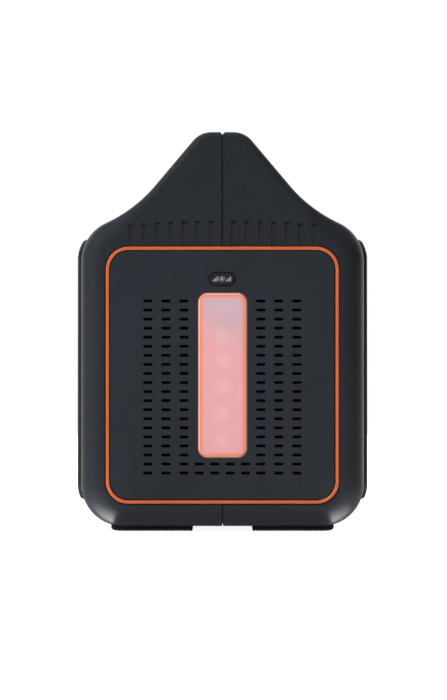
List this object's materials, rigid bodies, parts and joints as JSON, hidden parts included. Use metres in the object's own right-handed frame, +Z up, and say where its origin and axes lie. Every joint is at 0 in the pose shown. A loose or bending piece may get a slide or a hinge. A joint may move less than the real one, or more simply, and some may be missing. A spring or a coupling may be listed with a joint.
{
  "type": "jump starter pack",
  "caption": "Portable battery pack for starting a car, with a carry handle, end light, fan, display, buttons, 12 V socket and jump lead port.",
  "frame": {"origin": "centre of the bounding box at floor level, under the four feet", "axes": "+Z up; +Y along the length, from the light end to the fan end; +X towards the front panel with the display and sockets"},
  "size_m": [0.1488, 0.23, 0.2003],
  "materials": {
    "casing_plastic": "fine moulded texture, charcoal",
    "panel_plastic": "satin, charcoal",
    "trim_orange": "satin orange",
    "foot_rubber": "matt black, ribbed",
    "light_diffuser": "translucent, warm light",
    "white_plastic": "white, reflective",
    "light_board": "white solder mask",
    "button_plastic": "satin, charcoal",
    "black_plastic": "plain black",
    "cap_plastic": "satin black",
    "display_glass": "dark tinted window",
    "circuit_board": "green solder mask",
    "steel": "nickel plated",
    "brass": "plain",
    "aluminium": "extruded",
    "cell_can": "can in a blue film",
    "lead_red": "silicone insulation",
    "lead_black": "silicone insulation"
  },
  "bodies": {
    "pack": {"battery_board": "circuit_board", "battery_cell_1": "cell_can", "battery_cell_2": "cell_can", "battery_cell_3": "cell_can", "battery_cell_4": "cell_can", "battery_lead_negative": "lead_black", "battery_lead_positive": "lead_red", "battery_top_frame": "black_plastic", "battery_tray": "black_plastic", "busbar_1": "brass", "busbar_2": "brass", "busbar_3": "brass", "casing_screw_1": "steel", "casing_screw_2": "steel", "casing_screw_3": "steel", "casing_screw_4": "steel", "casing_screw_5": "steel", "casing_screw_6": "steel", "charge_jack": "black_plastic", "control_board": "circuit_board", "display_module": "black_plastic", "display_window": "display_glass", "fan_end_panel": "panel_plastic", "fan_end_trim": "trim_orange", "fan_frame": "black_plastic", "foot_front_fan": "foot_rubber", "foot_front_light": "foot_rubber", "foot_rear_fan": "foot_rubber", "foot_rear_light": "foot_rubber", "front_casing": "casing_plastic", "front_panel": "panel_plastic", "heat_sink": "aluminium", "jump_contact_negative": "brass", "jump_contact_positive": "brass", "jump_port": "cap_plastic", "jump_port_cap_pin": "steel", "light_board": "light_board", "light_end_panel": "panel_plastic", "light_end_trim": "trim_orange", "light_lens": "light_diffuser", "light_reflector": "white_plastic", "light_switch": "black_plastic", "power_board": "circuit_board", "rear_casing": "casing_plastic", "rear_panel": "panel_plastic", "socket_barrel": "steel", "socket_cap_pin": "steel", "socket_contact": "brass", "usb_a_port_1": "steel", "usb_a_port_2": "steel", "usb_c_port": "steel"},
    "light_button_body": {"light_button": "button_plastic"},
    "power_button_body": {"power_button": "button_plastic"},
    "dc_button_body": {"dc_button": "button_plastic"},
    "usb_button_body": {"usb_button": "button_plastic"},
    "boost_button_body": {"boost_button": "button_plastic"},
    "socket_cap_body": {"socket_cap": "cap_plastic"},
    "jump_port_cap_body": {"jump_port_cap": "cap_plastic"},
    "fan_rotor_body": {"fan_rotor": "black_plastic"}
  },
  "joints": [
    {"name": "light_button_press", "type": "slide", "parent": "pack", "child": "light_button_body", "axis": [0, 1, 0], "range_m": [0, 0.0012], "stiffness_N_per_m": 300},
    {"name": "power_button_press", "type": "slide", "parent": "pack", "child": "power_button_body", "axis": [-1, 0, 0], "range_m": [0, 0.0012], "stiffness_N_per_m": 300},
    {"name": "dc_button_press", "type": "slide", "parent": "pack", "child": "dc_button_body", "axis": [-1, 0, 0], "range_m": [0, 0.0012], "stiffness_N_per_m": 300},
    {"name": "usb_button_press", "type": "slide", "parent": "pack", "child": "usb_button_body", "axis": [-1, 0, 0], "range_m": [0, 0.0012], "stiffness_N_per_m": 300},
    {"name": "boost_button_press", "type": "slide", "parent": "pack", "child": "boost_button_body", "axis": [-1, 0, 0], "range_m": [0, 0.0012], "stiffness_N_per_m": 300},
    {"name": "socket_cap_hinge", "type": "hinge", "parent": "pack", "child": "socket_cap_body", "pos_m": [0.0736, 0.0663, 0.0966], "axis": [0, 0, 1], "range_deg": [0, 120]},
    {"name": "jump_port_cap_hinge", "type": "hinge", "parent": "pack", "child": "jump_port_cap_body", "pos_m": [0.0736, 0.0663, 0.0536], "axis": [0, 0, 1], "range_deg": [0, 120]},
    {"name": "fan_spin", "type": "hinge", "parent": "pack", "child": "fan_rotor_body", "pos_m": [0, 0.1006, 0.0785], "axis": [0, 1, 0], "continuous": true}
  ]
}
